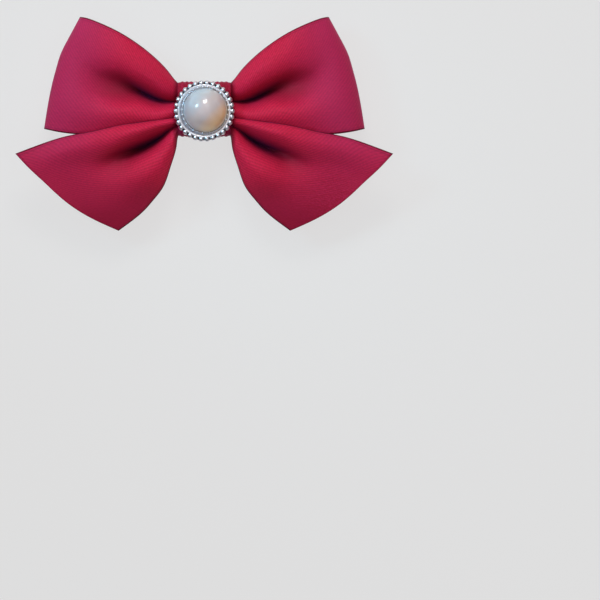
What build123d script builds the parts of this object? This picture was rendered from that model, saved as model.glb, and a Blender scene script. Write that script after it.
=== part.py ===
"""Shoe clip: a satin ribbon bow with a half pearl in a beaded setting, on a sheet-metal clip.

The bow lies on its back. +Z is its face, +Y the side of its two loops, and X runs from loop to loop.
The origin is on the surface that it lies on, below the middle of the pearl. Millimetres.
"""

import os
from collections import namedtuple
from math import cos, radians, sin

from build123d import *

# Bow: half of its plan, measured from the middle of the pearl
loop_reach = 33.9  # out to the lower corner of a loop
loop_rise = 19.8  # up to the upper corner of a loop
loop_drop = 3.5  # down to the lower corner of a loop
loop_depth = 7.6  # between the middles of a loop's front and back layers, at its fullest
loop_sag = 2.6  # how far the back of a loop hangs below the waist
loop_pleat = 1.9  # half the height of the folds pressed into a loop at its throat
loop_bow = 1.5  # how far a loop's outer fold bows out of the straight line between its corners
tail_reach = 40.3  # out to the outer tip of a tail
tail_tip_drop = 9.0  # how far that tip lies below the pearl
tail_drop = 25.4  # down to the lower tip of a tail
tail_tip_reach = 18.5  # how far that tip lies out from the pearl
tail_lift = 3.2  # how far the upper edge of a tail rises above the waist
tail_droop = 4.5  # how far the lower tip of a tail hangs below the waist
tail_pleat = 1.7  # half the height of the folds pressed into a tail at its throat
tail_bow = 1.9  # how far a tail's cut end bows out of the straight line between its tips
ribbon_wall = 1.0

# Waist: where both ribbons are gathered, inside the centre band
waist_top = 4.7
waist_bottom = -3.9
waist_tail_top = 0.6  # the tails are gathered into the lower half
waist_pleat = 0.35  # half the height of the loops' folds there
tail_waist_pleat = 0.18
band_width = 11.4
band_wall = 1.0
band_inner_corner = 0.6

# Setting: a cup with a sloping inner face and a beaded rim
pearl_radius = 4.75
pearl_girdle = 0.8  # straight side below the dome
pearl_dome = 4.2
cup_floor = 1.0
cup_height = 2.3
cup_lip_width = 0.25  # of the thin edge that holds the pearl
cup_lip_height = 1.4
cup_slope_width = 0.35
cup_rim_width = 0.2
bead_radius = 0.55
bead_count = 30
bead_sink = 0.25  # how deep the beads sit in the rim's outer side

# Clip: one bent sheet that slides over the edge of a shoe
clip_width = 18.0
clip_length = 10.6
clip_tongue_width = 12.0
clip_sheet = 0.8
clip_mouth = 2.2
clip_corner = 2.0
clip_fold_reach = 5.6  # how far the fold lies above the middle of the pearl
sew_hole = 1.2
sew_hole_spacing = 4.0

# Gaps between pieces
piece_gap = 0.3
seat_gap = 0.15
band_room = 0.5  # between the ribbons' edges and the inside of the band
slope_room = 0.15  # what a sloping layer needs above the gap to the next one

# Heights that follow from the stack of pieces, from the table up
layer_step = ribbon_wall + piece_gap + slope_room
clip_top = 2 * clip_sheet + clip_mouth
band_back = clip_top + seat_gap
back_waist = band_back + band_wall + piece_gap + ribbon_wall / 2 + waist_pleat
front_waist = back_waist + layer_step
tail_waist = front_waist + layer_step + waist_pleat
band_front = tail_waist + 2 * tail_waist_pleat + ribbon_wall / 2 + piece_gap + band_wall
cup_base = band_front + seat_gap
pearl_base = cup_base + cup_floor + seat_gap
waist_reach = band_width / 2 + piece_gap

profile_steps = 12  # spans between the points that a section's long sides pass through
loop_steps = 2  # sections for each row of the loop's table
tail_steps = 3

# Folds across a ribbon, from its upper edge to its lower one. at_waist and at_end are shares of the
# way across as seen from the front, height is a share of the section's pleat.
Fold = namedtuple("Fold", "at_waist at_end height")
LOOP_FOLDS = (
    Fold(0.00, 0.00, -0.45),  # upper edge
    Fold(0.18, 0.22, 1.00),  # upper ridge
    Fold(0.44, 0.46, -1.00),  # valley
    Fold(0.64, 0.68, 0.85),  # lower ridge
    Fold(0.82, 0.83, 0.45),  # flank
    Fold(1.00, 1.00, -0.50),  # lower edge
)
TAIL_FOLDS = (
    Fold(0.00, 0.00, 0.00),
    Fold(0.20, 0.20, 1.00),
    Fold(0.44, 0.46, -1.00),
    Fold(0.66, 0.64, 0.80),
    Fold(0.84, 0.82, 0.45),
    Fold(1.00, 1.00, -0.45),
)

# Sections round a loop, from the front of its neck round the outer fold to the back of its neck.
# Places are shares of the loop's reach, rise and drop, height of its depth, pleat and bow of theirs.
# along is the share of the way out, lean the turn of the ribbon's face from front (0) to back (180).
LoopCut = namedtuple("LoopCut", "along top_out top_up low_out low_down height pleat bow lean")
LOOP_SECTIONS = (
    LoopCut(0.10, 0.245, 0.400, 0.245, 1.03, 0.68, 0.45, 0.00, 0),  # neck
    LoopCut(0.35, 0.360, 0.616, 0.383, 1.20, 0.90, 1.00, 0.00, 0),  # throat
    LoopCut(0.60, 0.555, 0.854, 0.619, 1.34, 1.00, 0.60, 0.00, 0),  # belly
    LoopCut(0.85, 0.678, 0.939, 0.844, 1.29, 0.97, 0.16, 0.10, 8),  # shoulder
    LoopCut(0.95, 0.755, 0.980, 0.962, 1.11, 0.83, 0.00, 0.60, 45),
    LoopCut(1.00, 0.794, 1.000, 1.000, 1.00, 0.55, 0.00, 1.00, 90),  # outer fold
    LoopCut(0.95, 0.755, 0.980, 0.962, 1.11, 0.27, 0.00, 0.60, 135),
    LoopCut(0.85, 0.678, 0.939, 0.844, 1.29, 0.10, -0.10, 0.10, 172),
    LoopCut(0.60, 0.555, 0.854, 0.619, 1.34, 0.00, -0.20, 0.00, 180),
    LoopCut(0.35, 0.360, 0.616, 0.383, 1.20, 0.12, -0.35, 0.00, 180),
    LoopCut(0.10, 0.245, 0.400, 0.245, 1.03, 0.26, -0.25, 0.00, 180),
)

# Sections along a tail, from its neck out. Places are shares of the two tips' reaches and drops,
# top_lift and low_droop of the tail's lift and droop. The last section lies past the cut end.
TailCut = namedtuple("TailCut", "along top_out top_down low_out low_down top_lift low_droop pleat")
TAIL_SECTIONS = (
    TailCut(0.08, 0.215, 0.100, 0.360, 0.275, 0.50, -0.20, 0.25),  # neck
    TailCut(0.30, 0.337, 0.276, 0.400, 0.488, 1.00, -0.05, 1.00),  # throat
    TailCut(0.55, 0.561, 0.442, 0.557, 0.713, 0.95, 0.30, 0.65),
    TailCut(0.80, 0.789, 0.674, 0.789, 0.882, 0.58, 0.67, 0.30),
    TailCut(1.08, 1.082, 1.127, 1.151, 1.083, 0.00, 1.05, 0.12),
)


def section_plane(top, bottom, lean):
    """The plane of a ribbon's section: local x runs from its upper edge to its lower one."""
    run = (bottom - top).normalized()
    outward = Vector(-run.Y, run.X, 0).normalized()
    face = run.cross(outward) * cos(radians(lean)) + outward * sin(radians(lean))
    return Plane(origin=top, x_dir=run, z_dir=run.cross(face))


def ribbon_section(values):
    """A cut across the ribbon: a curve through its folds, with half its wall on either side.

    values are the upper edge's x, y, z, the lower edge's x, y, z, the lean, and each fold's share of
    the way across with its height.
    """
    top, bottom, lean = Vector(*values[0:3]), Vector(*values[3:6]), values[6]
    width = (bottom - top).length
    folds = [(share * width, rise) for share, rise in zip(values[7::2], values[8::2])]
    with BuildSketch(section_plane(top, bottom, lean)) as cut:
        with BuildLine():
            middle = Spline(*folds, mode=Mode.PRIVATE)
            face_side = []
            back_side = []
            for step in range(profile_steps + 1):
                place = middle @ (step / profile_steps)
                along = middle % (step / profile_steps)
                out = Vector(-along.Y, along.X, 0) * (ribbon_wall / 2)
                face_side.append(place + out)
                back_side.append(place - out)
            Spline(*face_side)
            Line(face_side[-1], back_side[-1])
            Spline(*reversed(back_side))
            Line(back_side[0], face_side[0])
        make_face()
    return cut.sketch


def folded(table, along, pleat, bow=0.0):
    """The folds of one section: each one's share of the way across and its height."""
    folds = []
    for fold in table:
        share = fold.at_waist + (fold.at_end - fold.at_waist) * along
        folds += [share, fold.height * pleat + bow * 4 * share * (1 - share)]
    return folds


def gathered(table, top, height, pleat, lean):
    """The values of the section where a ribbon leaves the band on the +X side."""
    return [waist_reach, top, height, waist_reach, waist_bottom, height, lean, *folded(table, 0, pleat)]


def smooth_sections(rows, steps):
    """Sections through all the rows, with steps from each row to the next, on smooth curves."""
    first = [2 * a - b for a, b in zip(rows[0], rows[1])]
    last = [2 * a - b for a, b in zip(rows[-1], rows[-2])]
    padded = [first, *rows, last]
    cuts = []
    for index in range(1, len(rows)):
        for step in range(steps):
            t = step / steps
            values = []
            for before, start, end, after in zip(*padded[index - 1 : index + 3]):
                bend = 2 * before - 5 * start + 4 * end - after
                twist = 3 * start - before - 3 * end + after
                values.append(start + ((end - before) * t + bend * t**2 + twist * t**3) / 2)
            cuts.append(ribbon_section(values))
    cuts.append(ribbon_section(rows[-1]))
    return cuts


# Loops: one ribbon ring, flattened and gathered in the middle
loop_back = back_waist - loop_sag
loop_rows = [gathered(LOOP_FOLDS, waist_top, front_waist, waist_pleat, 0)]
for cut in LOOP_SECTIONS:
    level = loop_back + cut.height * loop_depth
    upper = [cut.top_out * loop_reach, cut.top_up * loop_rise, level]
    lower = [cut.low_out * loop_reach, -cut.low_down * loop_drop, level]
    folds = folded(LOOP_FOLDS, cut.along, cut.pleat * loop_pleat, cut.bow * loop_bow)
    loop_rows.append([*upper, *lower, cut.lean, *folds])
loop_rows.append(gathered(LOOP_FOLDS, waist_top, back_waist, -waist_pleat, 180))
loop_cuts = smooth_sections(loop_rows, loop_steps)

with BuildPart() as loop_ribbon:
    loft(loop_cuts)
    mirror(about=Plane.YZ)
    extrude(loop_cuts[0], amount=2 * waist_reach, dir=(-1, 0, 0))
    extrude(loop_cuts[-1], amount=2 * waist_reach, dir=(-1, 0, 0))

# Tails: one ribbon strip, gathered over the loops' lower half and cut in a bow at each end
tail_rows = [gathered(TAIL_FOLDS, waist_tail_top, tail_waist, tail_waist_pleat, 0)]
for cut in TAIL_SECTIONS:
    upper = [cut.top_out * tail_reach, -cut.top_down * tail_tip_drop, tail_waist + cut.top_lift * tail_lift]
    lower = [cut.low_out * tail_tip_reach, -cut.low_down * tail_drop, tail_waist - cut.low_droop * tail_droop]
    tail_rows.append([*upper, *lower, 0, *folded(TAIL_FOLDS, cut.along, cut.pleat * tail_pleat)])
tail_cuts = smooth_sections(tail_rows, tail_steps)

outer_tip = Vector(tail_reach, -tail_tip_drop)
lower_tip = Vector(tail_tip_reach, -tail_drop)
cut_run = (lower_tip - outer_tip).normalized()
cut_out = Vector(-cut_run.Y, cut_run.X)
cut_past = tail_reach / 2
with BuildSketch() as past_cut:
    with BuildLine():
        start = outer_tip - cut_run * cut_past
        end = lower_tip + cut_run * cut_past
        Line(start, outer_tip)
        ThreePointArc(outer_tip, (outer_tip + lower_tip) / 2 + cut_out * tail_bow, lower_tip)
        Line(lower_tip, end)
        Polyline(end, end + cut_out * cut_past, start + cut_out * cut_past, start)
    make_face()

with BuildPart() as tail_ribbon:
    loft(tail_cuts)
    extrude(past_cut.sketch, amount=2 * band_front, mode=Mode.SUBTRACT)
    mirror(about=Plane.YZ)
    extrude(tail_cuts[0], amount=2 * waist_reach, dir=(-1, 0, 0))

# Centre band: a short ribbon round the gather
gather_width = waist_top - waist_bottom + 2 * band_room
gather_depth = band_front - band_back - 2 * band_wall
band_middle = ((waist_top + waist_bottom) / 2, (band_front + band_back) / 2)
with BuildPart() as centre_band:
    with BuildSketch(Plane.YZ.offset(-band_width / 2)):
        with Locations(band_middle):
            RectangleRounded(
                gather_width + 2 * band_wall,
                gather_depth + 2 * band_wall,
                band_inner_corner + band_wall,
            )
            RectangleRounded(gather_width, gather_depth, band_inner_corner, mode=Mode.SUBTRACT)
    extrude(amount=band_width)

# Setting: a cup whose inner face slopes to a thin edge round the pearl, with a ring of beads
pearl_room = pearl_radius + seat_gap
lip_out = pearl_room + cup_lip_width
slope_out = lip_out + cup_slope_width
cup_radius = slope_out + cup_rim_width
bead_circle = cup_radius + bead_radius - bead_sink
with BuildPart() as pearl_setting:
    with BuildSketch(Plane.XZ):
        with BuildLine():
            Polyline(
                (0, cup_base),
                (cup_radius, cup_base),
                (cup_radius, cup_base + cup_height),
                (slope_out, cup_base + cup_height),
                (lip_out, cup_base + cup_lip_height),
                (pearl_room, cup_base + cup_lip_height),
                (pearl_room, cup_base + cup_floor),
                (0, cup_base + cup_floor),
                close=True,
            )
        make_face()
    revolve(axis=Axis.Z)
    with Locations((0, 0, cup_base + cup_height - bead_radius)):
        with PolarLocations(bead_circle, bead_count):
            Sphere(bead_radius)

# Pearl: a dome on a short straight side
dome_base = pearl_base + pearl_girdle
dome_sphere = (pearl_radius**2 + pearl_dome**2) / (2 * pearl_dome)
with BuildPart() as pearl:
    with BuildSketch(Plane.XZ):
        with BuildLine():
            Polyline(
                (0, dome_base + pearl_dome),
                (0, pearl_base),
                (pearl_radius, pearl_base),
                (pearl_radius, dome_base),
            )
            RadiusArc((pearl_radius, dome_base), (0, dome_base + pearl_dome), -dome_sphere)
        make_face()
    revolve(axis=Axis.Z)

# Clip: a plate that is sewn to the bow, folded back under itself as a tongue
fold_radius = clip_top / 2
grip_radius = clip_mouth / 2
fold_start = clip_fold_reach - fold_radius
clip_end = clip_fold_reach - clip_length
plate_under = clip_top - clip_sheet
plate_middle = (0, (fold_start + clip_end) / 2)
with BuildPart() as shoe_clip:
    with BuildSketch(Plane.XY.offset(plate_under)):
        with Locations(plate_middle):
            RectangleRounded(clip_width, fold_start - clip_end, clip_corner)
            with GridLocations(clip_width - 2 * clip_corner, sew_hole_spacing, 2, 2):
                Circle(sew_hole / 2, mode=Mode.SUBTRACT)
    extrude(amount=clip_sheet)
    with BuildSketch(Plane.YZ.offset(-clip_tongue_width / 2)):
        with BuildLine():
            Polyline((fold_start, 0), (clip_end, 0), (clip_end, clip_sheet), (fold_start, clip_sheet))
            ThreePointArc(
                (fold_start, clip_sheet),
                (fold_start + grip_radius, fold_radius),
                (fold_start, plate_under),
            )
            Polyline(
                (fold_start, plate_under),
                (fold_start - clip_corner, plate_under),
                (fold_start - clip_corner, clip_top),
                (fold_start, clip_top),
            )
            ThreePointArc((fold_start, clip_top), (clip_fold_reach, fold_radius), (fold_start, 0))
        make_face()
    extrude(amount=clip_tongue_width)
    tongue_corners = shoe_clip.edges().filter_by(Axis.Z).filter_by_position(Axis.Z, 0, clip_sheet)
    fillet(tongue_corners.group_by(Axis.Y)[0], clip_corner)

PIECES = {
    "loop_ribbon": loop_ribbon,
    "tail_ribbon": tail_ribbon,
    "centre_band": centre_band,
    "pearl_setting": pearl_setting,
    "pearl": pearl,
    "shoe_clip": shoe_clip,
}
os.makedirs("parts", exist_ok=True)
for name, piece in PIECES.items():
    piece.part.label = name
    export_step(piece.part, f"parts/{name}.step")
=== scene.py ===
"""Shoe clip: a bow of crimson satin ribbon with a half pearl in a beaded metal setting.

The ribbons, the band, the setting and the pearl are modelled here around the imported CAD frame. The
clip keeps its CAD shape and gets its finish. The tables hold millimetres in the frame of the CAD:
+Z out of the bow's face, +Y towards the loops, X from loop to loop.
"""

import math
from collections import namedtuple

import bpy
import numpy as np
from bpy.props import FloatProperty, FloatVectorProperty, IntProperty, PointerProperty
from mathutils import Matrix, Vector


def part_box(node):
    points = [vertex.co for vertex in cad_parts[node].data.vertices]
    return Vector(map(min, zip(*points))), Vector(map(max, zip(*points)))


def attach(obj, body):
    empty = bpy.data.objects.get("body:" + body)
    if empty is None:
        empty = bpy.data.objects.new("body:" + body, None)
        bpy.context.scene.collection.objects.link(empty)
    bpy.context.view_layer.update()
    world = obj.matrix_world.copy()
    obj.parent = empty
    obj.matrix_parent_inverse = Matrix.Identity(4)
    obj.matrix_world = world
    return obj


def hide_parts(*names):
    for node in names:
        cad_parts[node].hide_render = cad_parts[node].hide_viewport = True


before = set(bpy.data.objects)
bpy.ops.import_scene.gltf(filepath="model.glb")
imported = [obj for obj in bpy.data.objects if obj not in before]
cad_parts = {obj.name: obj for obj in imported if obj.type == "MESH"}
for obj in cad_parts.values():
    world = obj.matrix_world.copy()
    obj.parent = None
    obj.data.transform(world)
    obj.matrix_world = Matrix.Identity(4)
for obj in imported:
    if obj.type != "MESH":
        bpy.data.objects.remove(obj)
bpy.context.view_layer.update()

bl_info = {
    "name": "Shoe clip",
    "version": (1, 0, 0),
    "blender": (4, 5, 0),
    "location": "3D View > Sidebar > Shoe clip",
    "description": "Builds a satin bow shoe clip with a half pearl, and its stage",
    "category": "Object",
}

MM = 0.001
BODY = "root"
RIBBON_MAP = "ribbon_mm"
DEPTH_MAP = "fold_depth_mm"
IMAGE_SIDE = 600


def linear(code):
    """The linear colour of an sRGB hex code, as Blender's sockets take it."""
    shares = [int(code[i : i + 2], 16) / 255 for i in (1, 3, 5)]
    return [c / 12.92 if c <= 0.04045 else ((c + 0.055) / 1.055) ** 2.4 for c in shares]


def colour(name, code, text):
    """A colour setting, by its sRGB hex code."""
    return FloatVectorProperty(
        name=name, description=text, subtype="COLOR", size=3, min=0, max=1, default=linear(code)
    )


def length(name, size_mm, text):
    """A length setting, by its size in mm."""
    return FloatProperty(
        name=name, description=text, unit="LENGTH", min=0, precision=5, default=size_mm * MM
    )


class RibbonLook(bpy.types.PropertyGroup):
    width: length("Ribbon width", 25, "Width of the ribbon between its woven edges")
    thickness: length("Cloth thickness", 0.4, "Thickness of the doubled satin")
    twill_pitch: length("Twill pitch", 0.54, "Distance between two diagonal lines of the weave")
    twill_angle: FloatProperty(
        name="Twill angle",
        description="Angle of the diagonal lines to the ribbon's length",
        subtype="ANGLE",
        default=math.radians(47),
    )
    selvedge: length("Selvedge", 0.62, "Width of the close-woven strip along each edge")
    bright: colour("Satin, raised threads", "#E1244B", "Colour of the threads that lie on top")
    deep: colour("Satin, sunk threads", "#AD1A38", "Colour between the threads")
    # Painted sheen and shade: the colour of the far ends, which turn away from the light.
    far_sheen_and_shade: colour("Satin, opened out", "#A03168", "Colour that the far ends drift to")
    # Painted shade on the tails' low corners.
    turned: colour("Satin, turned away", "#8A0A24", "Colour of the tails' low corners")
    # Painted shade deep in the folds, beside the band and on it.
    painted_fold_shade: colour("Satin, in the folds", "#3C0010", "Colour deep in the folds")
    # The close-woven edge, darkened with painted shade where the cloth's edge turns away.
    woven_edge_and_shade: colour("Satin, woven edge", "#5C0A20", "Colour of the close-woven edge")
    sheen: colour("Satin sheen", "#C060D8", "Colour of the light that the nap scatters")


class SettingLook(bpy.types.PropertyGroup):
    bead_count: IntProperty(
        name="Beads", description="Beads round the rim", min=3, max=80, default=30
    )
    bead_radius: length("Bead radius", 0.61, "Radius of one bead of the rim")
    bead_circle: length("Bead circle", 5.96, "Radius of the circle of bead centres")
    claw_count: IntProperty(
        name="Claws", description="Small claws that hold the pearl", min=3, max=80, default=30
    )
    claw_radius: length("Claw radius", 0.24, "Radius of one claw's rounded head")
    claw_circle: length("Claw circle", 4.95, "Radius of the circle of claws")
    metal: colour("Setting metal", "#DFE0E7", "Colour of the plated metal")
    # Painted shade in the gaps between the rim's beads.
    bead_gap_shade: colour("Painted_shade_between_beads", "#42303A", "Colour of the plating between the beads")
    pearl: colour("Pearl", "#D0C0BE", "Body colour of the pearl")
    # Painted light on the pearl: warm on its lower right and cool on its upper left.
    pearl_painted_warm_light: colour("Pearl, warm side", "#FFCB98", "Colour that the pearl drifts to")
    pearl_painted_cool_light: colour("Pearl, cool side", "#BCC2CA", "Colour that the pearl drifts to")
    steel: colour("Clip steel", "#B9BCC0", "Colour of the nickel-plated clip")


class StageLook(bpy.types.PropertyGroup):
    floor: colour("Floor", "#626262", "Colour of the pale floor")
    key_power: FloatProperty(
        name="Key light",
        description="Power of the light above the loops",
        unit="POWER",
        default=0.59,
    )
    glow: FloatProperty(
        name="Floor glow",
        description="Light that the translucent floor gives",
        min=0,
        default=0.665,
    )


def spline_through(knots, points, at, closed=False):
    """Smooth cubic through points at their knots, read at the values in at. A closed one repeats
    its first point at the end."""
    knots, points, at = (np.asarray(a, float) for a in (knots, points, at))
    n, gap = len(knots), np.diff(knots)
    slope = np.diff(points, axis=0) / gap[:, None]
    system, right = np.eye(n), np.zeros_like(points)
    for i in range(1, n - 1):
        system[i, i - 1 : i + 2] = gap[i - 1], 2 * (gap[i - 1] + gap[i]), gap[i]
        right[i] = 6 * (slope[i] - slope[i - 1])
    if closed:
        system[0, :2], system[0, n - 2] = (2 * (gap[0] + gap[-1]), gap[0]), gap[-1]
        right[0] = 6 * (slope[0] - slope[-1])
        system[-1, 0], system[-1, -1] = -1, 1
    bend = np.linalg.solve(system, right)
    i = np.clip(np.searchsorted(knots, at, side="right") - 1, 0, n - 2)
    t, h = (at - knots[i])[:, None], gap[i][:, None]
    first = slope[i] - h * (2 * bend[i] + bend[i + 1]) / 6
    return points[i] + t * first + t**2 * bend[i] / 2 + t**3 * (bend[i + 1] - bend[i]) / (6 * h)


def run_lengths(points):
    """Distance of each point from the first along the line that they make."""
    steps = np.linalg.norm(np.diff(points, axis=0), axis=1)
    return np.concatenate([[0], np.cumsum(steps)])


def new_object(name, mesh):
    piece = bpy.data.objects.new(name, mesh)
    bpy.context.scene.collection.objects.link(piece)
    return piece


def made_plain(piece):
    """The piece with its modifiers turned into plain mesh."""
    shown = piece.evaluated_get(bpy.context.evaluated_depsgraph_get())
    mesh = bpy.data.meshes.new_from_object(shown)
    piece.modifiers.clear()
    piece.data = mesh
    mesh.name = piece.name
    return piece


def on_body(piece, slot, *nodes):
    """The piece rides on the only body and stands for the CAD nodes. Its slot is not used."""
    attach(piece, BODY)
    if nodes:
        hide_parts(*nodes)


def turned_piece(name, profile, turns, middle=(0, 0)):
    """A closed solid from a profile of (radius, height) points in mm that runs out along its foot
    and up its outside, and closes or ends on the axis, which stands at middle."""
    spots, rings, faces = [], {}, []
    for radius, height in profile:
        if (radius, height) not in rings:
            count = turns if radius else 1
            rings[radius, height] = [len(spots) + k % count for k in range(turns + 1)]
            for k in range(count):
                angle = 2 * math.pi * k / turns
                x, y = radius * math.cos(angle), radius * math.sin(angle)
                spots.append((x * MM, y * MM, height * MM))
    for one, other in zip(profile, profile[1:]):
        for k in range(turns):
            near, far = rings[one][k : k + 2], rings[other][k : k + 2]
            # On the axis two corners are one point, and the face is a triangle.
            faces.append(tuple(dict.fromkeys(near + far[::-1])))
    mesh = bpy.data.meshes.new(name)
    mesh.from_pydata(spots, [], faces)
    mesh.transform(Matrix.Translation((middle[0] * MM, middle[1] * MM, 0)))
    mesh.shade_smooth()
    return new_object(name, mesh)


def fill_inputs(node, inputs):
    """Fills a node's inputs, by name or in their order, with values, with other nodes' sockets or
    with other nodes' first outputs."""
    for key, value in inputs.items() if isinstance(inputs, dict) else enumerate(inputs):
        if isinstance(value, bpy.types.Node):
            value = value.outputs[0]
        if isinstance(value, bpy.types.NodeSocket):
            node.id_data.links.new(value, node.inputs[key])
        else:
            node.inputs[key].default_value = value


def add_node(tree, kind, inputs=(), **settings):
    """Adds a node, sets its settings and fills its inputs."""
    node = tree.nodes.new(kind)
    for name, value in settings.items():
        setattr(node, name, value)
    fill_inputs(node, inputs)
    return node


# A station is one line across the ribbon, as points on its folds from the upper edge to the lower
# one. The crest overhangs the valley near the waist and parts from it further out.
Station = namedtuple("Station", "edge ridge slope valley crest belly hem")

LOOP_FRONT = [
    Station(
        (0, 5.0, 7.6), (0, 4.2, 8.4), (0, 3.2, 7.8), (0, 2.3, 7.0),
        (0, 1.7, 7.7), (0, -0.8, 8.3), (0, -3.5, 7.6),
    ),
    Station(
        (5.9, 6.1, 8.5), (6.0, 4.8, 9.8), (6.05, 3.2, 9.0), (6.1, 2.1, 6.8),
        (6.15, 1.3, 9.2), (6.2, 0.1, 10.5), (6.2, -2.75, 7.9),
    ),
    Station(
        (7.8, 8.45, 9.3), (8.2, 6.0, 11.2), (8.3, 4.0, 10.4), (8.5, 2.2, 5.8),
        (8.6, 0.8, 9.9), (8.8, -0.5, 11.3), (8.9, -3.5, 8.3),
    ),
    Station(
        (10.7, 11.45, 10.2), (11.1, 8.3, 12.3), (11.2, 5.1, 10.7), (11.4, 3.1, 5.3),
        (11.3, 1.4, 9.7), (11.7, -0.9, 11.8), (11.9, -3.9, 9.1),
    ),
    Station(
        (14.1, 14.2, 10.9), (14.5, 10.7, 12.8), (14.6, 7.0, 11.2), (14.7, 4.7, 6.9),
        (14.6, 3.0, 9.0), (15.2, -0.3, 12.2), (15.6, -4.3, 9.8),
    ),
    Station(
        (18.2, 16.85, 11.7), (18.7, 12.9, 12.8), (18.8, 8.8, 11.4), (18.8, 6.3, 8.7),
        (18.9, 3.7, 9.2), (19.4, 0.2, 12.2), (20.0, -4.75, 9.9),
    ),
    Station(
        (22.4, 18.9, 11.4), (23.0, 14.7, 11.9), (23.3, 9.9, 11.2), (23.4, 7.3, 10.0),
        (23.6, 4.8, 10.2), (24.2, 1.0, 11.6), (25.2, -4.9, 9.9),
    ),
    Station(
        (25.4, 19.95, 9.7), (26.95, 16.0, 10.5), (27.8, 12.3, 10.8), (28.4, 9.4, 10.9),
        (28.9, 6.6, 11.0), (30.0, 1.6, 11.1), (31.2, -4.35, 10.1),
    ),
]
LOOP_FOLD = Station(
    (26.4, 20.1, 7.4), (29.0, 15.3, 7.3), (30.6, 12.0, 7.4), (31.45, 9.2, 7.4),
    (32.2, 6.4, 7.4), (33.2, 1.6, 7.4), (34.05, -3.75, 7.3),
)
TAIL = [
    Station(
        (0, -0.9, 9.1), (0, -1.5, 9.6), (0, -2.1, 9.3), (0, -2.7, 8.9),
        (0, -3.1, 9.3), (0, -3.7, 9.6), (0, -4.3, 9.0),
    ),
    Station(
        (6.1, -1.5, 10.3), (6.15, -2.2, 11.0), (6.2, -2.8, 9.7), (6.25, -3.4, 8.3),
        (6.15, -3.75, 9.8), (5.85, -4.35, 10.4), (5.6, -4.9, 9.3),
    ),
    Station(
        (9.6, -1.95, 11.35), (9.7, -2.9, 12.3), (9.5, -3.9, 10.9), (9.0, -5.3, 5.2),
        (8.3, -6.1, 9.8), (7.2, -7.0, 11.2), (6.05, -7.4, 10.1),
    ),
    Station(
        (13.8, -2.5, 12.2), (14.1, -4.2, 13.7), (13.6, -5.6, 12.0), (12.6, -7.4, 5.6),
        (11.8, -8.7, 9.7), (9.7, -10.7, 11.9), (7.2, -11.5, 10.0),
    ),
    Station(
        (18.6, -3.2, 12.4), (19.2, -5.5, 13.5), (18.9, -7.4, 12.4), (17.9, -9.6, 8.6),
        (16.8, -11.2, 9.6), (13.2, -13.8, 11.9), (8.6, -15.6, 9.4),
    ),
    Station(
        (24.6, -4.5, 11.9), (25.4, -7.4, 12.8), (24.9, -9.8, 11.6), (23.5, -12.1, 10.1),
        (21.9, -13.8, 9.7), (17.1, -17.1, 9.9), (10.8, -18.7, 8.2),
    ),
    Station(
        (32.0, -6.1, 10.8), (32.4, -9.4, 11.5), (31.4, -12.4, 10.4), (29.8, -14.6, 9.6),
        (28.0, -16.5, 9.0), (21.8, -20.6, 8.2), (14.0, -22.1, 6.8),
    ),
    Station(
        (40.3, -9.05, 10.2), (37.3, -12.2, 10.4), (34.4, -14.9, 9.8), (31.9, -17.3, 9.2),
        (29.2, -19.6, 8.4), (23.8, -22.9, 7.1), (18.35, -25.4, 5.8),
    ),
]
# Columns of the mesh between one fold and the next, and the distance between its rows in mm.
COLUMNS = Station(10, 9, 10, 8, 10, 12, 0)
ROW_STEP = 0.42
# The loops' back layer in mm: its height, the share of the front's folds that it keeps, its height
# beside the outer fold, and how far it rises at the first stations, where the waist gathers it.
BACK_LEVEL = 4.6
BACK_FOLDS = 0.28
BACK_OUTER = 4.9
BACK_RISE = (1.3, 1.1, 0.6)
# The cloth beside the band counts as this deep in a fold, for painted shadow, from 4 mm at the
# first distance from the middle to none at the second.
BESIDE_BAND = (6.1, 7.1)
BESIDE_BAND_DEPTH = (4.0, 0.0)


def as_array(stations):
    return np.array(stations, float)


def mirrored(stations):
    return stations * np.array([-1.0, 1.0, 1.0])


def back_layer(front):
    """The loop's back layer: the front's plan with its folds lower and flatter."""
    back = front.copy()
    folds = front[..., 2] - front[..., 2].mean(axis=1, keepdims=True)
    back[..., 2] = BACK_LEVEL + BACK_FOLDS * folds
    back[-1, :, 2] = BACK_OUTER
    for row, rise in zip(back, BACK_RISE):
        row[:, 2] += rise
    return back


def across(folds):
    """One row of the mesh: a smooth line over the folds of a station, and each point's distance
    from the upper edge."""
    knots = run_lengths(folds)
    at = [
        knots[k] + (knots[k + 1] - knots[k]) * j / columns
        for k, columns in enumerate(COLUMNS[:-1])
        for j in range(columns)
    ]
    row = spline_through(knots, folds, np.array(at + [knots[-1]]))
    return row, run_lengths(row)


def fold_depth(row):
    """How far each point of a row lies below the line from its ridge to its belly. Beside the band
    the cloth counts as deep too, for a painted shadow of the band and setting."""
    ridge = COLUMNS.edge
    belly = sum(COLUMNS[: Station._fields.index("belly")])
    depth = np.zeros(len(row))
    spots = np.arange(ridge, belly + 1)
    depth[spots] = np.interp(spots, (ridge, belly), row[[ridge, belly], 2]) - row[spots, 2]
    return np.maximum(depth, np.interp(np.abs(row[:, 0]), BESIDE_BAND, BESIDE_BAND_DEPTH))


def mark_depth(piece, depth, wound=False):
    """Keeps the fold depth for the painted shade in the cloth's colour, on the side that the
    folds open to, or on both sides of a wound piece. Solidify puts one side's points after all of
    the other's."""
    heights = np.array([point.co.z for point in piece.data.vertices]).reshape(2, -1)
    values = np.zeros_like(heights)
    values[:] = depth
    if not wound:
        values[np.argmin(heights @ depth)] = 0
    layer = piece.data.attributes.new(DEPTH_MAP, "FLOAT", "POINT")
    layer.data.foreach_set("value", values.astype(np.float32).ravel())


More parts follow.
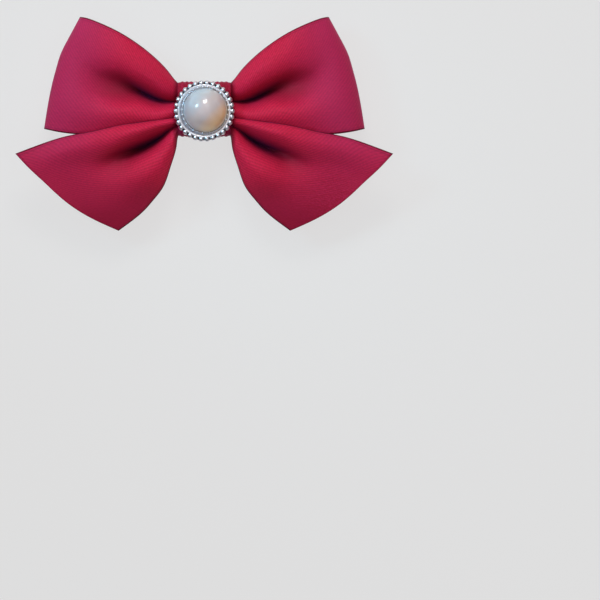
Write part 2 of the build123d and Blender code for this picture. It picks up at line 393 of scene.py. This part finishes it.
def cloth_piece(name, points, spots, closed, flipped, look):
    """A cloth wall on a grid of points in mm, with spots as its map. A closed one joins its last
    row to its first. A flipped one has its faces turned over."""
    n, m = points.shape[:2]
    faces = []
    for i in range(n if closed else n - 1):
        for j in range(m - 1):
            here, after = i * m + j, (i + 1) % n * m + j
            face = (here, after, after + 1, here + 1)
            faces.append((here, here + 1, after + 1, after) if flipped else face)
    mesh = bpy.data.meshes.new(name)
    mesh.from_pydata((points.reshape(-1, 3) * MM).tolist(), [], faces)
    mesh.shade_smooth()
    corners = np.empty(len(mesh.loops), np.int32)
    mesh.loops.foreach_get("vertex_index", corners)
    layer = mesh.uv_layers.new(name=RIBBON_MAP)
    layer.uv.foreach_set("vector", spots.reshape(-1, 2)[corners].astype(np.float32).ravel())
    piece = new_object(name, mesh)
    wall = piece.modifiers.new("Cloth", "SOLIDIFY")
    wall.thickness = look.thickness
    wall.offset = 0
    return made_plain(piece)


def ribbon_piece(name, stations, closed, look):
    """A ribbon through its stations, and the length of its middle line in mm. Its map counts the
    length outwards from the waist on both sides, so the weave is mirrored as the ribbon is."""
    knots = run_lengths(stations.mean(axis=1))
    rows = int(knots[-1] / ROW_STEP) + 1
    at = np.linspace(0, knots[-1], rows)
    flat = stations.reshape(len(stations), -1)
    folds = spline_through(knots, flat, at, closed).reshape(rows, -1, 3)
    if closed:
        folds, at = folds[:-1], at[:-1]
    made = [across(row) for row in folds]
    points = np.array([row for row, _ in made])
    reach = np.array([run for _, run in made])
    over = reach * (look.width / MM) / reach[:, -1:]
    along = np.minimum(at, knots[-1] - at) if closed else np.abs(at - knots[-1] / 2)
    spots = np.stack([np.broadcast_to(along[:, None], over.shape), over], axis=-1)
    piece = cloth_piece(name, points, spots, closed, False, look)
    mark_depth(piece, np.concatenate([fold_depth(row) for row in points]))
    return piece, knots[-1]


def start_material(name):
    material = bpy.data.materials.new(name)
    material.use_nodes = True
    tree = material.node_tree
    return material, tree, tree.nodes["Principled BSDF"]


# In the materials, a map range takes its value, the two ends of the span that the value runs over,
# and what these ends become. A mix of colours has them on its inputs 6 and 7 and its output 2.
SMOOTH = {"interpolation_type": "SMOOTHSTEP"}
COLOUR_MIX = {"data_type": "RGBA", "clamp_factor": True}


def woven_satin(look):
    """Woven polyester satin ribbon: long floats that shine along the ribbon, a fine diagonal
    twill, a soft pinkish sheen where the cloth turns away, and a close-woven strip at each
    edge. Sheen and shade are also painted into its colour: at the far ends, on the tails' low
    parts, in the folds, beside and on the band, and along the edges."""
    material, tree, shader = start_material("Woven satin")
    place = add_node(tree, "ShaderNodeUVMap", uv_map=RIBBON_MAP)
    axes = add_node(tree, "ShaderNodeSeparateXYZ", [place]).outputs
    along, over = axes["X"], axes["Y"]

    # The diagonal lines, by their real pitch in mm.
    turn = 2 * math.pi / (look.twill_pitch / MM)
    by_length, by_width = turn * math.sin(look.twill_angle), turn * math.cos(look.twill_angle)
    lift = add_node(tree, "ShaderNodeMath", [along, by_length], operation="MULTIPLY")
    side = add_node(tree, "ShaderNodeMath", [over, by_width], operation="MULTIPLY")
    phase = add_node(tree, "ShaderNodeMath", [lift, side], operation="ADD")
    wave = add_node(tree, "ShaderNodeMath", [phase], operation="SINE")
    twill = add_node(tree, "ShaderNodeMath", [wave, 0.5, 0.5], operation="MULTIPLY_ADD")
    # Floats as streaks, in mm, drawn wider than the real threads so that they show, and specks
    # 0.45 mm across.
    float_long, float_wide = 2.0, 0.25
    lengthwise = add_node(tree, "ShaderNodeMath", [along, 1 / float_long], operation="MULTIPLY")
    crosswise = add_node(tree, "ShaderNodeMath", [over, 1 / float_wide], operation="MULTIPLY")
    drawn = add_node(tree, "ShaderNodeCombineXYZ", [lengthwise, crosswise])
    streak = add_node(tree, "ShaderNodeTexNoise", {"Vector": drawn, "Scale": 1.0, "Detail": 3.0})
    speck = add_node(tree, "ShaderNodeTexNoise", {"Vector": place, "Scale": 2.2, "Detail": 2.0})
    # Distance from the nearer edge gives the woven rim, which is painted dark as shade along the
    # edge, and the dark line inside the selvedge.
    width, selvedge, rim_width, half_line = look.width / MM, look.selvedge / MM, 0.28, 0.11
    to_far_edge = add_node(tree, "ShaderNodeMath", [width, over], operation="SUBTRACT")
    nearer = add_node(tree, "ShaderNodeMath", [over, to_far_edge], operation="MINIMUM")
    line = add_node(tree, "ShaderNodeMath", [nearer, selvedge, half_line], operation="COMPARE")
    rim = add_node(tree, "ShaderNodeMath", [nearer, rim_width], operation="LESS_THAN")
    # How far each spot is a raised thread: 0.3 on the whole, more or less by each of the patterns.
    by_streak = add_node(tree, "ShaderNodeMath", [streak, 0.55, -0.28], operation="MULTIPLY_ADD")
    by_speck = add_node(tree, "ShaderNodeMath", [speck, 1.0, -0.5], operation="MULTIPLY_ADD")
    by_both = add_node(tree, "ShaderNodeMath", [by_streak, by_speck], operation="ADD")
    threads = add_node(tree, "ShaderNodeMath", [twill, 0.4, by_both], operation="MULTIPLY_ADD")
    threads = add_node(tree, "ShaderNodeMath", [threads, 0.3], operation="ADD")
    threads = add_node(tree, "ShaderNodeMath", [line, -0.5, threads], operation="MULTIPLY_ADD")

    # The cloth is painted duller and pinker 16 to 30 mm out, on the loops more than on the
    # tails: painted shade and sheen where the far ends turn away from the light.
    far_end_share = add_node(tree, "ShaderNodeMapRange", [along, 16.0, 30.0, 0.0, 0.42], **SMOOTH)
    where = add_node(tree, "ShaderNodeTexCoord").outputs["Object"]
    up = add_node(tree, "ShaderNodeSeparateXYZ", [where]).outputs["Y"]
    on_loops = add_node(tree, "ShaderNodeMapRange", [up, -14 * MM, -2 * MM, 0.5, 1.0])
    far_sheen_and_shade = add_node(tree, "ShaderNodeMath", [far_end_share, on_loops], operation="MULTIPLY")
    # Painted shade: the lower part of a tail turns away from the light and is painted deeper.
    turned = add_node(tree, "ShaderNodeMapRange", [up, -12 * MM, -24 * MM, 0.0, 0.55])
    # Shade is painted into the folds, darkest where they are deepest, by their depth in mm.
    depth = add_node(tree, "ShaderNodeAttribute", attribute_name=DEPTH_MAP).outputs["Fac"]
    fold_shade_share = add_node(tree, "ShaderNodeMapRange", [depth, 0.9, 5.8, 0.0, 0.92])
    # The rim takes painted shade along the cloth's edges.
    on_rim = add_node(tree, "ShaderNodeMath", [rim, 0.85], operation="MULTIPLY")
    # The cloth's own colours first, then painted sheen and shade over them.
    dye_and_painted_light = (*look.deep, 1)
    for share, shade in (
        (threads, look.bright),
        (far_sheen_and_shade, look.far_sheen_and_shade),
        (turned, look.turned),
        (fold_shade_share, look.painted_fold_shade),
        (on_rim, look.woven_edge_and_shade),
    ):
        colours = {"Factor": share, 6: dye_and_painted_light, 7: (*shade, 1)}
        dye_and_painted_light = add_node(tree, "ShaderNodeMix", colours, **COLOUR_MIX).outputs[2]
    bump = {"Height": threads, "Strength": 0.35, "Distance": 0.06 * MM}
    fill_inputs(
        shader,
        {
            "Base Color": dye_and_painted_light,
            "Normal": add_node(tree, "ShaderNodeBump", bump),
            "Roughness": 0.62,
            "Specular IOR Level": 0.12,
            "Sheen Weight": 0.1,
            "Sheen Roughness": 0.4,
            "Sheen Tint": (*look.sheen, 1),
        },
    )
    return material


def plated_casting(look):
    """Cast zinc alloy, polished and plated: mirror-like and a little cool, with a slight
    waviness, and painted shade between the rim's beads."""
    material, tree, shader = start_material("Plated casting")
    where = add_node(tree, "ShaderNodeTexCoord").outputs["Object"]
    # Polishing marks about 0.3 mm across.
    scale = 1 / (0.3 * MM)
    marks = add_node(tree, "ShaderNodeTexNoise", {"Vector": where, "Scale": scale, "Detail": 2.0})
    bump = {"Height": marks, "Strength": 0.15, "Distance": 0.02 * MM}
    # The painted shade lies halfway between one bead and the next, outside the lip and above the
    # cup's wall, which stays bright.
    axes = add_node(tree, "ShaderNodeSeparateXYZ", [where]).outputs
    turn = add_node(tree, "ShaderNodeMath", [axes["Y"], axes["X"]], operation="ARCTAN2")
    turns = add_node(tree, "ShaderNodeMath", [turn, look.bead_count], operation="MULTIPLY")
    wave = add_node(tree, "ShaderNodeMath", [turns], operation="COSINE")
    in_gap = add_node(tree, "ShaderNodeMapRange", [wave, -0.5, -0.95, 0.0, 0.9], **SMOOTH)
    flat = add_node(tree, "ShaderNodeCombineXYZ", [axes["X"], axes["Y"]])
    reach = add_node(tree, "ShaderNodeVectorMath", [flat], operation="LENGTH").outputs["Value"]
    past_lip = [reach, 5.6 * MM, 5.8 * MM, 0.0, 1.0]
    on_rim = add_node(tree, "ShaderNodeMapRange", past_lip, **SMOOTH)
    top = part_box("pearl_setting")[1].z
    above_wall = [axes["Z"], top - 0.8 * MM, top - 0.7 * MM, 0.0, 1.0]
    by_beads = add_node(tree, "ShaderNodeMapRange", above_wall)
    share = add_node(tree, "ShaderNodeMath", [in_gap, on_rim], operation="MULTIPLY")
    share = add_node(tree, "ShaderNodeMath", [share, by_beads], operation="MULTIPLY")
    colours = {"Factor": share, 6: (*look.metal, 1), 7: (*look.bead_gap_shade, 1)}
    fill_inputs(
        shader,
        {
            "Base Color": add_node(tree, "ShaderNodeMix", colours, **COLOUR_MIX).outputs[2],
            "Normal": add_node(tree, "ShaderNodeBump", bump),
            "Roughness": add_node(tree, "ShaderNodeMapRange", [marks, 0.0, 1.0, 0.26, 0.38]),
            "Metallic": 1.0,
        },
    )
    return material


def pearl_lacquer(look):
    """Acrylic half pearl under pearl lacquer: a glossy coat over a milky body, with painted cool
    light on its upper left and painted warm light on its lower right."""
    material, tree, shader = start_material("Pearl lacquer")
    where = add_node(tree, "ShaderNodeTexCoord").outputs["Object"]
    axes = add_node(tree, "ShaderNodeSeparateXYZ", [where]).outputs
    # The share from painted cool light to painted warm light rises by this much for each mm to the
    # right and each mm down the bow, from about a half in the middle, and clouds 4 mm across shift
    # it a little.
    right = add_node(tree, "ShaderNodeMath", [axes["X"], 0.09 / MM], operation="MULTIPLY")
    down = add_node(tree, "ShaderNodeMath", [axes["Y"], -0.085 / MM], operation="MULTIPLY")
    slant = add_node(tree, "ShaderNodeMath", [right, down], operation="ADD")
    scale = 1 / (4 * MM)
    cloud = add_node(tree, "ShaderNodeTexNoise", {"Vector": where, "Scale": scale, "Detail": 1.0})
    middle = add_node(tree, "ShaderNodeMath", [cloud, 0.12, 0.44], operation="MULTIPLY_ADD")
    light_and_tone_drift = add_node(tree, "ShaderNodeMath", [slant, middle], operation="ADD")
    ramp = add_node(tree, "ShaderNodeValToRGB", [light_and_tone_drift])
    stops = ramp.color_ramp.elements
    stops[0].position, stops[0].color = 0.1, (*look.pearl_painted_cool_light, 1)
    stops[1].position, stops[1].color = 0.95, (*look.pearl_painted_warm_light, 1)
    for position in (0.42, 0.64):
        stops.new(position).color = (*look.pearl, 1)
    fill_inputs(
        shader,
        {
            "Base Color": ramp,
            "Roughness": 0.38,
            "Specular IOR Level": 0.6,
            "Coat Weight": 0.9,
            "Coat Roughness": 0.05,
            "Subsurface Weight": 0.7,
            "Subsurface Radius": (6 * MM, 5 * MM, 4.2 * MM),
            "Subsurface Scale": 1.0,
            "Thin Film Thickness": 420.0,
            "Thin Film IOR": 1.5,
        },
    )
    return material


def spring_steel(look):
    """Nickel-plated spring steel sheet, rolled and tumbled: a soft gloss with fine lines along
    it."""
    material, tree, shader = start_material("Nickel-plated spring steel")
    where = add_node(tree, "ShaderNodeTexCoord").outputs["Object"]
    # Rolling lines about 0.12 mm wide across X, 3 mm long along Y and 0.5 mm deep.
    scale = (1 / (0.12 * MM), 1 / (3 * MM), 1 / (0.5 * MM))
    lines = add_node(tree, "ShaderNodeMapping", {"Vector": where, "Scale": scale})
    grain = add_node(tree, "ShaderNodeTexNoise", {"Vector": lines, "Scale": 1.0, "Detail": 3.0})
    bump = {"Height": grain, "Strength": 0.2, "Distance": 0.01 * MM}
    fill_inputs(
        shader,
        {
            "Base Color": (*look.steel, 1),
            "Normal": add_node(tree, "ShaderNodeBump", bump),
            "Roughness": add_node(tree, "ShaderNodeMapRange", [grain, 0.0, 1.0, 0.2, 0.42]),
            "Metallic": 1.0,
        },
    )
    return material


def shared(maker, name, look):
    """The material of that name, made once."""
    return bpy.data.materials.get(name) or maker(look)


def satin():
    return shared(woven_satin, "Woven satin", bpy.context.scene.bow_ribbon)


class MakeLoops(bpy.types.Operator):
    """Both loops: one ring of ribbon, its front layer, outer folds and back layer"""

    bl_idname = "shoe_clip.loops"
    bl_label = "Ribbon loops"

    def execute(self, context):
        look = context.scene.bow_ribbon
        front = as_array(LOOP_FRONT)
        right = np.concatenate([front, as_array([LOOP_FOLD]), back_layer(front)[::-1]])
        left = mirrored(right)[::-1]
        ring = np.concatenate([right, left[1:]])
        piece, around = ribbon_piece("ribbon_loops", ring, True, look)
        piece.data.materials.append(satin())
        on_body(piece, "satin", "loop_ribbon")
        return {"FINISHED"}


class MakeTails(bpy.types.Operator):
    """Both tails: one strip of ribbon laid over the loops, with slanting cut ends"""

    bl_idname = "shoe_clip.tails"
    bl_label = "Ribbon tails"

    def execute(self, context):
        look = context.scene.bow_ribbon
        right = as_array(TAIL)
        strip = np.concatenate([mirrored(right)[:0:-1], right])
        piece, length_mm = ribbon_piece("ribbon_tails", strip, False, look)
        piece.data.materials.append(satin())
        on_body(piece, "satin", "tail_ribbon")
        return {"FINISHED"}


# The band's line round the gather as (y, height) in mm, from the middle of its front over the
# loops' side, behind the gather, and back over the tails' side.
BAND_LINE = [
    (0.4, 11.3), (3.4, 11.3), (5.4, 10.9), (6.1, 9.7),
    (6.2, 7.7), (5.9, 5.2), (4.9, 4.3), (3.0, 4.15),
    (0.4, 4.15), (-2.4, 4.15), (-4.0, 4.3), (-4.9, 5.2),
    (-5.15, 7.6), (-5.2, 9.4), (-4.6, 10.8), (-2.6, 11.3),
]
# Half of the band's width, how far its folded edges turn in over the last stretch of it, and its
# shallow pleats, in mm.
BAND_HALF = 5.6
TURN_IN, TURN_STRETCH = 0.3, 0.8
PLEAT_DEPTH, PLEAT_PITCH = 0.14, 0.93
BAND_ROWS, BAND_COLUMNS = 160, 96
# The band's map starts 6 mm in from the ribbon's edge, which is folded under, and its cloth counts
# as 3.4 mm deep in a fold, which paints shade over the whole band.
BAND_MAP_START = 6
BAND_DEPTH = 3.4


class MakeBand(bpy.types.Operator):
    """The short ribbon that is wound round the gather, its edges folded under"""

    bl_idname = "shoe_clip.band"
    bl_label = "Centre band"

    def execute(self, context):
        look = context.scene.bow_ribbon
        line = as_array(BAND_LINE + BAND_LINE[:1])
        knots = run_lengths(line)
        at = np.linspace(0, knots[-1], BAND_ROWS + 1)[:-1]
        wound = spline_through(knots, line, at, closed=True)
        middle = wound.mean(axis=0)
        points, spots = [], []
        for (y, z), run in zip(wound, at):
            inward = (middle - (y, z)) / np.linalg.norm(middle - (y, z))
            for j in range(BAND_COLUMNS + 1):
                x = BAND_HALF * (2 * j / BAND_COLUMNS - 1)
                by_edge = max(0, (abs(x) - BAND_HALF + TURN_STRETCH) / TURN_STRETCH)
                pleat = PLEAT_DEPTH * (1 - math.cos(2 * math.pi * x / PLEAT_PITCH)) / 2
                dy, dz = inward * (TURN_IN * by_edge**2 + pleat)
                points.append((x, y + dy, z + dz))
                spots.append((run, BAND_MAP_START + x + BAND_HALF))
        points = np.array(points).reshape(BAND_ROWS, -1, 3)
        piece = cloth_piece("gather_band", points, np.array(spots), True, True, look)
        mark_depth(piece, np.full(points.size // 3, BAND_DEPTH), wound=True)
        piece.data.materials.append(satin())
        on_body(piece, "satin", "centre_band")
        return {"FINISHED"}


def ring_of(name, count, circle, head_radius, height, flatten, material, middle):
    """Like heads set round a circle by Geometry Nodes, then made one plain mesh."""
    tree = bpy.data.node_groups.new(name, "GeometryNodeTree")
    tree.interface.new_socket("Geometry", in_out="OUTPUT", socket_type="NodeSocketGeometry")
    settings = (
        ("Count", "NodeSocketInt", count),
        ("Circle radius", "NodeSocketFloat", circle),
        ("Head radius", "NodeSocketFloat", head_radius),
        ("Height", "NodeSocketFloat", height),
        ("Flatten", "NodeSocketFloat", flatten),
    )
    sockets = {
        label: tree.interface.new_socket(label, in_out="INPUT", socket_type=kind).identifier
        for label, kind, _ in settings
    }
    values = add_node(tree, "NodeGroupInput").outputs
    line = add_node(
        tree,
        "GeometryNodeMeshCircle",
        {"Vertices": values["Count"], "Radius": values["Circle radius"]},
    )
    lift = add_node(tree, "ShaderNodeCombineXYZ", {"Z": values["Height"]})
    placed = add_node(tree, "GeometryNodeSetPosition", {"Geometry": line, "Offset": lift})
    sizes = {"Radius": values["Head radius"], "Subdivisions": 4}
    head = add_node(tree, "GeometryNodeMeshIcoSphere", sizes)
    scale = add_node(tree, "ShaderNodeCombineXYZ", [1.0, 1.0, values["Flatten"]])
    heads = add_node(
        tree,
        "GeometryNodeInstanceOnPoints",
        {"Points": placed, "Instance": head, "Scale": scale},
    )
    real = add_node(tree, "GeometryNodeRealizeInstances", [heads])
    smooth = add_node(tree, "GeometryNodeSetShadeSmooth", [real])
    given = {"Geometry": smooth, "Material": material}
    finish = add_node(tree, "GeometryNodeSetMaterial", given)
    add_node(tree, "NodeGroupOutput", [finish])
    piece = new_object(name, bpy.data.meshes.new(name))
    modifier = piece.modifiers.new("Ring", "NODES")
    modifier.node_group = tree
    for label, _, value in settings:
        modifier[sockets[label]] = value
    made_plain(piece)
    piece.data.transform(Matrix.Translation((middle[0] * MM, middle[1] * MM, 0)))
    return piece


# The pearl, its collar and its claws sit this far off the rim's middle, in mm along X and Y.
PEARL_SET = (0.22, 0.18)
# Sizes of the setting in mm: the gap below the pearl, how far the cup's wall lies outside the
# circle of beads, the radius of the lip inside the beads and of the well inside the lip, the
# collar's inner and outer radius and how far it goes into the floor, and the depth of the claws'
# middles below the rim's top.
SEAT_GAP = 0.15
WALL_OUT = 0.34
LIP = 5.5
WELL = 5.08
COLLAR_IN, COLLAR_OUT = 4.8, 5.4
COLLAR_SUNK = 0.05
CLAW_DROP = 0.35
# The claws' height as a share of their width.
CLAW_FLATTEN = 0.8
# Facets round a turned metal piece and round the pearl.
METAL_TURNS = 120
PEARL_TURNS = 128


class MakeSetting(bpy.types.Operator):
    """The metal setting: a cup with a sloping inner wall, a rim of beads and a ring of claws"""

    bl_idname = "shoe_clip.setting"
    bl_label = "Pearl setting"

    def execute(self, context):
        look = context.scene.bow_setting
        metal = shared(plated_casting, "Plated casting", look)
        low, high = (corner.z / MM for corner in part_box("pearl_setting"))
        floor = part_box("pearl")[0].z / MM - SEAT_GAP
        wall = look.bead_circle / MM + WALL_OUT
        foot = [(0, low), (wall - 0.3, low), (wall - 0.08, low + 0.08), (wall, low + 0.3)]
        step = [(wall, high - 0.85), (wall - 0.12, high - 0.68), (wall - 0.5, high - 0.62)]
        lip = [(LIP + 0.22, high - 0.25), (LIP + 0.12, high - 0.14), (LIP, high - 0.15)]
        slope = [(WELL + 0.08, high - 0.22), (WELL, high - 0.32)]
        seat = [(WELL, floor + 0.1), (WELL - 0.1, floor), (0, floor)]
        cup = turned_piece("setting_cup", foot + step + lip + slope + seat, METAL_TURNS)
        cup.data.materials.append(metal)
        on_body(cup, "setting_metal", "pearl_setting")
        base = floor - COLLAR_SUNK
        outside = [(COLLAR_IN, base), (COLLAR_OUT, base), (COLLAR_OUT, high - 0.85)]
        crown = [
            (COLLAR_IN + 0.23, high - 0.55),
            (COLLAR_IN + 0.17, high - 0.4),
            (COLLAR_IN + 0.06, high - 0.36),
            (COLLAR_IN, high - 0.44),
        ]
        ring = outside + crown + outside[:1]
        collar = turned_piece("pearl_collar", ring, METAL_TURNS, PEARL_SET)
        collar.data.materials.append(metal)
        on_body(collar, "setting_metal")
        beads = ring_of(
            "rim_beads",
            look.bead_count,
            look.bead_circle,
            look.bead_radius,
            high * MM - look.bead_radius,
            1.0,
            metal,
            (0, 0),
        )
        on_body(beads, "setting_metal")
        claws = ring_of(
            "pearl_claws",
            look.claw_count,
            look.claw_circle,
            look.claw_radius,
            (high - CLAW_DROP) * MM,
            CLAW_FLATTEN,
            metal,
            PEARL_SET,
        )
        on_body(claws, "setting_metal")
        return {"FINISHED"}


# Height of the pearl's girdle and width of the bevel at its foot, in mm, and the rings of its
# dome.
GIRDLE = 0.8
BEVEL = 0.2
DOME_RINGS = 40


class MakePearl(bpy.types.Operator):
    """The half pearl: a flat underside, a short straight girdle and a domed top"""

    bl_idname = "shoe_clip.pearl"
    bl_label = "Half pearl"

    def execute(self, context):
        low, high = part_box("pearl")
        radius, base, top = high.x / MM, low.z / MM, high.z / MM
        dome = top - base - GIRDLE
        ball = (radius**2 + dome**2) / (2 * dome)
        centre = top - ball
        start = math.asin((base + GIRDLE - centre) / ball)
        profile = [(0, base), (radius - BEVEL, base), (radius, base + BEVEL)]
        profile.append((radius, base + GIRDLE * 0.6))
        for k in range(DOME_RINGS):
            angle = start + (math.pi / 2 - start) * k / DOME_RINGS
            profile.append((ball * math.cos(angle), centre + ball * math.sin(angle)))
        profile.append((0, top))
        piece = turned_piece("half_pearl", profile, PEARL_TURNS, PEARL_SET)
        lacquer = shared(pearl_lacquer, "Pearl lacquer", context.scene.bow_setting)
        piece.data.materials.append(lacquer)
        on_body(piece, "pearl", "pearl")
        return {"FINISHED"}


class FinishClip(bpy.types.Operator):
    """The clip's steel finish, on its own CAD shape"""

    bl_idname = "shoe_clip.clip_finish"
    bl_label = "Clip finish"

    def execute(self, context):
        steel = shared(spring_steel, "Nickel-plated spring steel", context.scene.bow_setting)
        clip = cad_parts["shoe_clip"]
        clip.data.materials.clear()
        clip.data.materials.append(steel)
        return {"FINISHED"}


# Half of the floor's side, and the point in the bow that the lights face, in metres.
FLOOR_HALF = 1.5
HEART = Vector((0, 0, 0.012))
# Square area lights, in metres, watts and degrees. The key's power is a setting of the stage.
Lamp = namedtuple("Lamp", "name place size power spread tint")
LAMPS = (
    Lamp("key", (0, 0.254, 0.266), 0.115, None, 180, (1, 0.99, 0.97)),
    Lamp("cool_side", (-0.142, 0.081, 0.159), 0.07, 0.008, 26, (0.4, 0.8, 1)),
    Lamp("low_fill", (0.14, -0.14, 0.075), 0.08, 0.015, 180, (1, 0.86, 0.72)),
)
# The room's light, all round: a pale strip low down, dark walls that let the folds keep their
# depth, and a bright ceiling that the metal mirrors.
LOW_STRIP = (0.38, 0.38, 0.38, 1)
WALLS = (0.07, 0.07, 0.08, 1)
CEILING = (0.98, 0.98, 1.03, 1)
# The photograph: where the bow's middle stands in it, in pixels from its left and from its top,
# how far a pixel reaches at the ribbons' height, that height, and how far off the camera stands,
# so that the bow at the upper left is seen square on.
BOW_ACROSS, BOW_DOWN = 204.3, 111.4
PIXEL = 0.2135 * MM
SEEN_HEIGHT = 9 * MM
CAMERA_DISTANCE = 2.4
SENSOR_MM = 36


def add_light(lamp, power):
    data = bpy.data.lights.new(lamp.name, "AREA")
    data.shape = "SQUARE"
    data.size = lamp.size
    data.energy = power
    data.color = lamp.tint
    data.spread = math.radians(lamp.spread)
    light = new_object(lamp.name, data)
    light.location = lamp.place
    light.rotation_euler = (HEART - Vector(lamp.place)).to_track_quat("-Z", "Y").to_euler()


class MakeStage(bpy.types.Operator):
    """The pale floor, the soft studio lights and the camera"""

    bl_idname = "shoe_clip.stage"
    bl_label = "Stage"

    def execute(self, context):
        scene = context.scene
        look = scene.bow_stage
        mesh = bpy.data.meshes.new("floor")
        corners = [(x, y, 0) for x, y in ((-1, -1), (1, -1), (1, 1), (-1, 1))]
        mesh.from_pydata(corners, [], [(0, 1, 2, 3)])
        mesh.transform(Matrix.Scale(FLOOR_HALF, 4))
        floor = new_object("floor", mesh)
        # Milky acrylic lit from below: matt, and so pale that shadows on it stay faint.
        material, _, shader = start_material("Translucent light table")
        fill_inputs(
            shader,
            {
                "Base Color": (*look.floor, 1),
                "Roughness": 0.9,
                "Specular IOR Level": 0.0,
                "Emission Color": (1, 1, 1, 1),
                "Emission Strength": look.glow,
            },
        )
        floor.data.materials.append(material)
        for lamp in LAMPS:
            add_light(lamp, lamp.power or look.key_power)

        world = bpy.data.worlds.new("studio")
        scene.world = world
        world.use_nodes = True
        tree = world.node_tree
        # The height is 0 level with the table and 1 overhead.
        way = add_node(tree, "ShaderNodeTexCoord").outputs["Generated"]
        height = add_node(tree, "ShaderNodeSeparateXYZ", [way]).outputs["Z"]
        room = add_node(tree, "ShaderNodeValToRGB", [height])
        stops = room.color_ramp.elements
        stops[0].position, stops[0].color = 0.03, LOW_STRIP
        stops[1].position, stops[1].color = 0.9, CEILING
        for position in (0.12, 0.78):
            stops.new(position).color = WALLS
        fill_inputs(tree.nodes["Background"], {"Color": room})
        scene.view_settings.view_transform = "Standard"

        # Straight above the photograph's middle, facing down.
        camera = bpy.data.cameras.new("camera")
        camera.sensor_width = SENSOR_MM
        camera.lens = SENSOR_MM * CAMERA_DISTANCE / (IMAGE_SIDE * PIXEL)
        camera.clip_end = 10
        eye = new_object("camera", camera)
        eye.location = (
            (IMAGE_SIDE / 2 - BOW_ACROSS) * PIXEL,
            (BOW_DOWN - IMAGE_SIDE / 2) * PIXEL,
            SEEN_HEIGHT + CAMERA_DISTANCE,
        )
        scene.camera = eye
        return {"FINISHED"}


OPERATORS = (MakeLoops, MakeTails, MakeBand, MakeSetting, MakePearl, FinishClip, MakeStage)


class ShoeClipPanel(bpy.types.Panel):
    """Lists the steps that build the shoe clip and the sizes and colours that they read"""

    bl_idname = "VIEW3D_PT_shoe_clip"
    bl_label = "Shoe clip"
    bl_space_type = "VIEW_3D"
    bl_region_type = "UI"
    bl_category = "Shoe clip"

    def draw(self, context):
        layout = self.layout
        for step in OPERATORS:
            layout.operator(step.bl_idname)
        scene = context.scene
        for group in (scene.bow_ribbon, scene.bow_setting, scene.bow_stage):
            box = layout.box()
            for name in group.bl_rna.properties.keys():
                if name not in {"rna_type", "name"}:
                    box.prop(group, name)


CLASSES = (RibbonLook, SettingLook, StageLook, *OPERATORS, ShoeClipPanel)


def register():
    for item in CLASSES:
        bpy.utils.register_class(item)
    bpy.types.Scene.bow_ribbon = PointerProperty(type=RibbonLook)
    bpy.types.Scene.bow_setting = PointerProperty(type=SettingLook)
    bpy.types.Scene.bow_stage = PointerProperty(type=StageLook)


def unregister():
    del bpy.types.Scene.bow_stage
    del bpy.types.Scene.bow_setting
    del bpy.types.Scene.bow_ribbon
    for item in reversed(CLASSES):
        bpy.utils.unregister_class(item)


def main():
    register()
    for step in OPERATORS:
        family, name = step.bl_idname.split(".")
        getattr(getattr(bpy.ops, family), name)()


if __name__ == "__main__":
    main()
